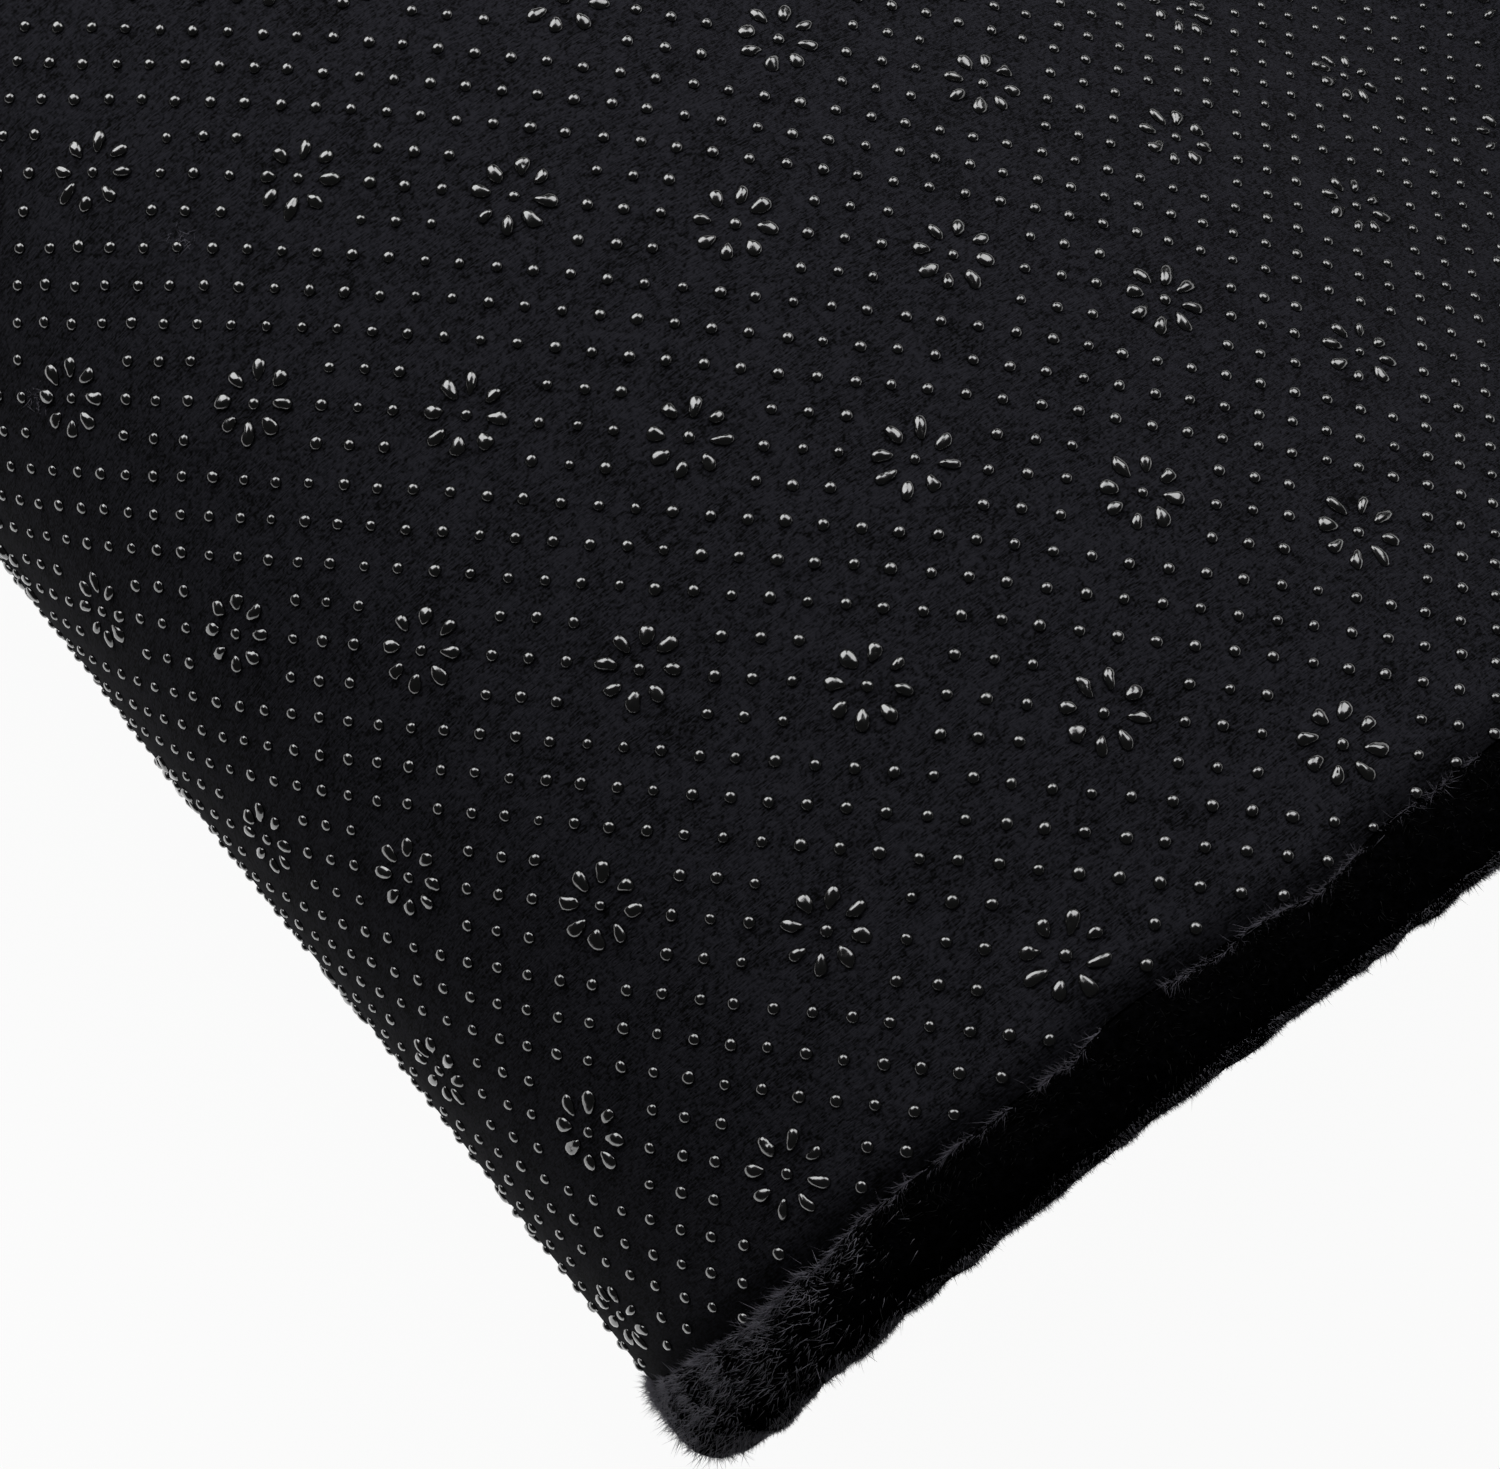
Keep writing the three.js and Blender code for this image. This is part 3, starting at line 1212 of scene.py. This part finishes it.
class COVERMAT_OT_pile_fibres(bpy.types.Operator):
    """Makes the fibres that stand out of the pile, finely where the camera looks closely"""

    bl_idname = "covermat.pile_fibres"
    bl_label = "Pile Fibres"

    def execute(self, context):
        form = MatForm(context.scene)
        pile = context.scene.plush_pile
        colours = context.scene.mat_colours
        surface = PileSurface(form, pile)
        fibres = {
            "pile_tips_painted_sheen": pile_fibre("black polyester fibre, painted sheen grey", colours.pile_tips_painted_sheen),
            "pile_dark": pile_fibre("black polyester fibre, end-on", colours.pile_dark),
            "pile_rim_painted_light": pile_fibre("black polyester fibre, painted rim light grey", colours.pile_rim_painted_light),
            "lint_and_painted_sheen": pile_fibre("loose grey fibre, lint and painted sheen", colours.lint_and_painted_sheen),
            "tuft_painted_sheen": pile_fibre("black polyester pile, in tufts", colours.tufts_painted_sheen),
        }
        patch_size = 0.005
        for seed, fur in enumerate(SHOWN_FUR):
            random = np.random.default_rng(SEEDS["fur"] + seed)
            a = random.uniform(*fur.places, fur.count)
            base = np.stack([a, np.full(fur.count, form.cut.width / 2)], axis=1)
            normal = np.tile([0.0, 1.0], (fur.count, 1))
            low, high = fur.turns
            turn = low + (high - low) * random.uniform(0, 1, fur.count) ** fur.thinning
            kept = np.ones(fur.count, dtype=bool)
            if fur.fade:
                kept &= random.uniform(0, 1, fur.count) < smooth_step(a, *fur.fade)
            if fur.patchy:
                patches = smooth_noise(surface.at(base, normal, turn), patch_size, SEEDS["patches"] + seed)
                kept &= patches > fur.patchy * random.uniform(-0.6, 1, fur.count) - 0.3
            self.grow(surface, fur, base[kept], normal[kept], turn[kept], fibres[fur.colour], random)
        self.add_specks(form, fibres["lint_and_painted_sheen"])
        random = np.random.default_rng(SEEDS["far_tufts"])
        base, normal = self.edge_places(form, random, pile.far_tufts)
        near = (base[:, 1] > 0) & (base[:, 0] > SHOWN_RANGE[0]) & (base[:, 0] < SHOWN_RANGE[1])
        base, normal = base[~near], normal[~near]
        # Far tufts, in the tuft grey: painted sheen over black pile
        tufts_painted_sheen = Fur(
            name="far",
            colour="tuft_painted_sheen",
            count=len(base),
            sections=1,
            turns=(0.05, 1.9),
            length=pile.tuft_length,
            width=pile.tuft_width,
            lean=-0.3,
            upright=0.8,
            curl=0.22,
        )
        turn = random.uniform(*tufts_painted_sheen.turns, len(base))
        self.grow(surface, tufts_painted_sheen, base, normal, turn, fibres[tufts_painted_sheen.colour], random)
        # Face tufts, in the same painted sheen grey
        self.add_face_tufts(form, pile, fibres["tuft_painted_sheen"])
        return {"FINISHED"}

    def add_face_tufts(self, form, pile, material):
        """The pile of the lower layer, where it shows past the upper one."""
        reach, margin = 0.2, 0.004
        sunk, stray, curl, combed = 0.3, 0.3, 0.15, (-0.4, -0.1, 0)
        seed, mesh_seed = SEEDS["face_tufts"]
        random = np.random.default_rng(seed)
        a = random.uniform(form.low_end + margin, form.low_end + reach, pile.face_tufts)
        b = random.uniform(-0.5, 0.5, pile.face_tufts) * form.cut.width
        face = cut_depth(form.cut)
        roots = form.place(a, b, face)
        lean = random.normal(0, stray, (len(a), 3)) + combed
        directions = unit(form.place(a, b, face + pile.tuft_length) - roots)
        directions = unit(directions + lean)
        lengths = pile.tuft_length * random.uniform(0.5, 0.9, len(a))
        roots = roots - directions * lengths[:, None] * sunk
        widths = pile.tuft_width * random.uniform(0.7, 1.2, len(a))
        bend = random.normal(0, curl, roots.shape)
        tufts_painted_sheen = fibre_piece(
            "pile_face_tufts",
            roots,
            directions,
            lengths,
            widths,
            1,
            bend,
            material,
            mesh_seed,
        )
        dress(tufts_painted_sheen, "plush_pile")

    def add_specks(self, form, material):
        """Small tangles of lint that lie on the cloth."""
        each, sections, spread, length, width = 36, 3, 0.0009, 0.0016, 0.00008
        seed, mesh_seed = SEEDS["specks"]
        random = np.random.default_rng(seed)
        centres = np.repeat(np.array(LINT_SPECKS), each, axis=0)
        flat = centres + random.normal(0, spread, centres.shape)
        roots = form.place(flat[:, 0], flat[:, 1], -form.swell(flat[:, 0], flat[:, 1]) - width)
        directions = unit(random.normal(0, 1, roots.shape) * [1, 1, 0.15])
        lengths = length * random.uniform(0.5, 1.2, len(roots))
        bend = random.normal(0, 0.5, roots.shape) * [1, 1, 0.1]
        widths = np.full(len(roots), width)
        specks = fibre_piece(
            "lint_specks",
            roots,
            directions,
            lengths,
            widths,
            sections,
            bend,
            material,
            mesh_seed,
        )
        dress(specks, "backing_cloth")

    def edge_places(self, form, random, count):
        """Random places round the whole cut edge, with their outward normals."""
        rows = edge_rows(form, coarse_stations(form))
        rim = border(sheet_grid(rows, 0, PILE_COLUMNS))
        outward = border(sheet_grid(rows, 1, PILE_COLUMNS)) - rim
        steps = np.linalg.norm(np.roll(rim, -1, axis=0) - rim, axis=1)
        picks = random.choice(len(rim), count, p=steps / steps.sum())
        share = random.uniform(0, 1, (count, 1))
        following = (picks + 1) % len(rim)
        base = rim[picks] * (1 - share) + rim[following] * share
        normal = outward[picks] * (1 - share) + outward[following] * share
        return base, unit(normal)

    def grow(self, surface, fur, base, normal, turn, material, random):
        """Fibres that stand off the roll, leaning and curling at random, and none below the floor."""
        nudge, sunk, stray, lowest = 1e-3, 0.3, 0.3, 0.0003
        clump_size, clump_lean, clump_curl = 0.003, 0.4, 0.3
        here = surface.at(base, normal, turn)
        across = surface.at(base, normal, turn + nudge) - surface.at(base, normal, turn - nudge)
        tangent = np.stack([normal[:, 1], -normal[:, 0]], axis=1)
        beside = unit(surface.at(base + tangent * nudge, normal, turn) - here)
        outward = unit(np.cross(beside, across))
        lean = random.normal(0, stray, (len(here), 3))
        clump = np.stack([smooth_noise(here, clump_size, seed) for seed in SEEDS["lean"]], axis=1)
        direction = unit(outward * fur.upright + beside * fur.lean + lean + clump_lean * clump)
        lengths = fur.length * random.uniform(0.55, 1.15, len(here))
        roots = displaced(here, outward, surface.pile) - outward * (sunk * lengths)[:, None]
        bend = random.normal(0, fur.curl, (len(here), 3)) + clump_curl * clump
        tips = roots + (direction + bend) * lengths[:, None]
        low = tips[:, 2] < lowest
        direction[low, 2] = np.abs(direction[low, 2])
        bend[low, 2] = np.abs(bend[low, 2])
        keep = roots[:, 2] > lowest
        piece = fibre_piece(
            f"pile_fibres_{fur.name}",
            roots[keep],
            direction[keep],
            lengths[keep],
            fur.width * random.uniform(0.7, 1.2, keep.sum()),
            fur.sections,
            bend[keep],
            material,
            len(here),
        )
        dress(piece, "plush_pile")


# Where the photograph was taken from, in metres from the crest of the fold and in degrees
CAMERA_FROM_CREST = (-0.009174, -0.201833, 0.39819)
CAMERA_TURN = (9.507, 6.897, -40.323)

# Each lamp's degrees from the picture's up direction and above the floor, its distance and its size
LAMPS = {
    "key": {"side": -38, "rise": 40, "distance": 0.85, "wide": 0.8, "tall": 0.62},
    "side": {"side": 37, "rise": 40, "distance": 0.85, "wide": 0.7, "tall": 0.56},
}
LAMP_AIM_FROM_EYE = (0.08, 0.16)
LAMP_AIM_HEIGHT = 0.09


class COVERMAT_OT_stage(bpy.types.Operator):
    """Sets the pale floor, the camera at the photograph's angle and two soft lamps"""

    bl_idname = "covermat.stage"
    bl_label = "Stage"

    def execute(self, context):
        scene = context.scene
        stage = scene.studio_stage
        self.add_floor(scene)
        eye = MatForm(scene).shift + np.array(CAMERA_FROM_CREST)
        self.add_camera(scene, stage, eye)
        self.add_lamps(stage, eye)
        self.add_world(scene, stage)
        scene.view_settings.view_transform = "Standard"
        return {"FINISHED"}

    def add_floor(self, scene):
        half = 30.0
        drop = scene.grip_print.dot_height
        sides = (-half, -half), (half, -half), (half, half), (-half, half)
        corners = np.array([(x, y, -drop) for x, y in sides])
        floor = make_mesh("floor", corners, [np.array([[0, 1, 2, 3]])], studio_floor(scene.mat_colours))

    def add_camera(self, scene, stage, eye):
        camera = bpy.data.objects.new("camera", bpy.data.cameras.new("camera"))
        scene.collection.objects.link(camera)
        camera.data.sensor_width = SENSOR_WIDTH
        camera.data.lens = stage.lens
        camera.data.clip_start = 0.01
        camera.data.clip_end = 20
        camera.location = eye
        camera.rotation_euler = [math.radians(turn) for turn in CAMERA_TURN]
        scene.camera = camera

    def add_lamps(self, stage, eye):
        turn = math.radians(CAMERA_TURN[2])
        picture_up = Vector((-math.sin(turn), math.cos(turn), 0))
        picture_right = Vector((math.cos(turn), math.sin(turn), 0))
        aim_x, aim_y = LAMP_AIM_FROM_EYE
        aim = Vector((eye[0] + aim_x, eye[1] + aim_y, LAMP_AIM_HEIGHT))
        powers = {"key": stage.key_power, "side": stage.side_power}
        for name, lamp_at in LAMPS.items():
            side, rise = math.radians(lamp_at["side"]), math.radians(lamp_at["rise"])
            flat = picture_up * math.cos(side) + picture_right * math.sin(side)
            towards = flat * math.cos(rise) + Vector((0, 0, math.sin(rise)))
            light = bpy.data.lights.new(name, "AREA")
            light.shape = "RECTANGLE"
            light.size = lamp_at["wide"]
            light.size_y = lamp_at["tall"]
            light.energy = powers[name]
            lamp = bpy.data.objects.new(name, light)
            lamp.location = aim + towards * lamp_at["distance"]
            lamp.rotation_euler = (-towards).to_track_quat("-Z", "Y").to_euler()
            bpy.context.scene.collection.objects.link(lamp)

    def add_world(self, scene, stage):
        world = bpy.data.worlds.new("studio")
        world.use_nodes = True
        world.node_tree.nodes.clear()
        path = add_node(world, "ShaderNodeLightPath")
        even = add_node(world, "ShaderNodeBackground", {"Color": [1, 1, 1, 1], "Strength": stage.sky})
        white = add_node(world, "ShaderNodeBackground", {"Color": [1, 1, 1, 1], "Strength": 1.0})
        shader = add_node(
            world,
            "ShaderNodeMixShader",
            links={0: path.outputs["Is Camera Ray"], 1: even.outputs[0], 2: white.outputs[0]},
        )
        add_node(world, "ShaderNodeOutputWorld", links={"Surface": shader.outputs[0]})
        scene.world = world


OPERATORS = (
    COVERMAT_OT_stage,
    COVERMAT_OT_backing_cloth,
    COVERMAT_OT_grip_dots,
    COVERMAT_OT_plush_pile,
    COVERMAT_OT_pile_fibres,
)

SETTINGS = {
    "mat_cut": MatCut,
    "mat_fold": MatFold,
    "grip_print": GripPrint,
    "plush_pile": PlushPile,
    "mat_colours": MatColours,
    "studio_stage": StudioStage,
}


class COVERMAT_PT_sidebar(bpy.types.Panel):
    """Lists the mat's sizes, colours and pieces"""

    bl_idname = "COVERMAT_PT_sidebar"
    bl_label = "Cover Mat"
    bl_space_type = "VIEW_3D"
    bl_region_type = "UI"
    bl_category = "Cover Mat"

    def draw(self, context):
        for name, group in SETTINGS.items():
            box = self.layout.box()
            box.label(text=group.__doc__)
            for field in group.__annotations__:
                box.prop(getattr(context.scene, name), field)
        for operator in OPERATORS:
            self.layout.operator(operator.bl_idname)


def register():
    for group in SETTINGS.values():
        bpy.utils.register_class(group)
    for name, group in SETTINGS.items():
        setattr(bpy.types.Scene, name, PointerProperty(type=group))
    for operator in OPERATORS:
        bpy.utils.register_class(operator)
    bpy.utils.register_class(COVERMAT_PT_sidebar)


def unregister():
    bpy.utils.unregister_class(COVERMAT_PT_sidebar)
    for operator in reversed(OPERATORS):
        bpy.utils.unregister_class(operator)
    for name, group in reversed(SETTINGS.items()):
        delattr(bpy.types.Scene, name)
        bpy.utils.unregister_class(group)


def main():
    register()
    bpy.ops.covermat.stage()
    bpy.ops.covermat.backing_cloth()
    bpy.ops.covermat.grip_dots()
    bpy.ops.covermat.plush_pile()
    bpy.ops.covermat.pile_fibres()
    bpy.context.view_layer.update()


if __name__ == "__main__":
    main()
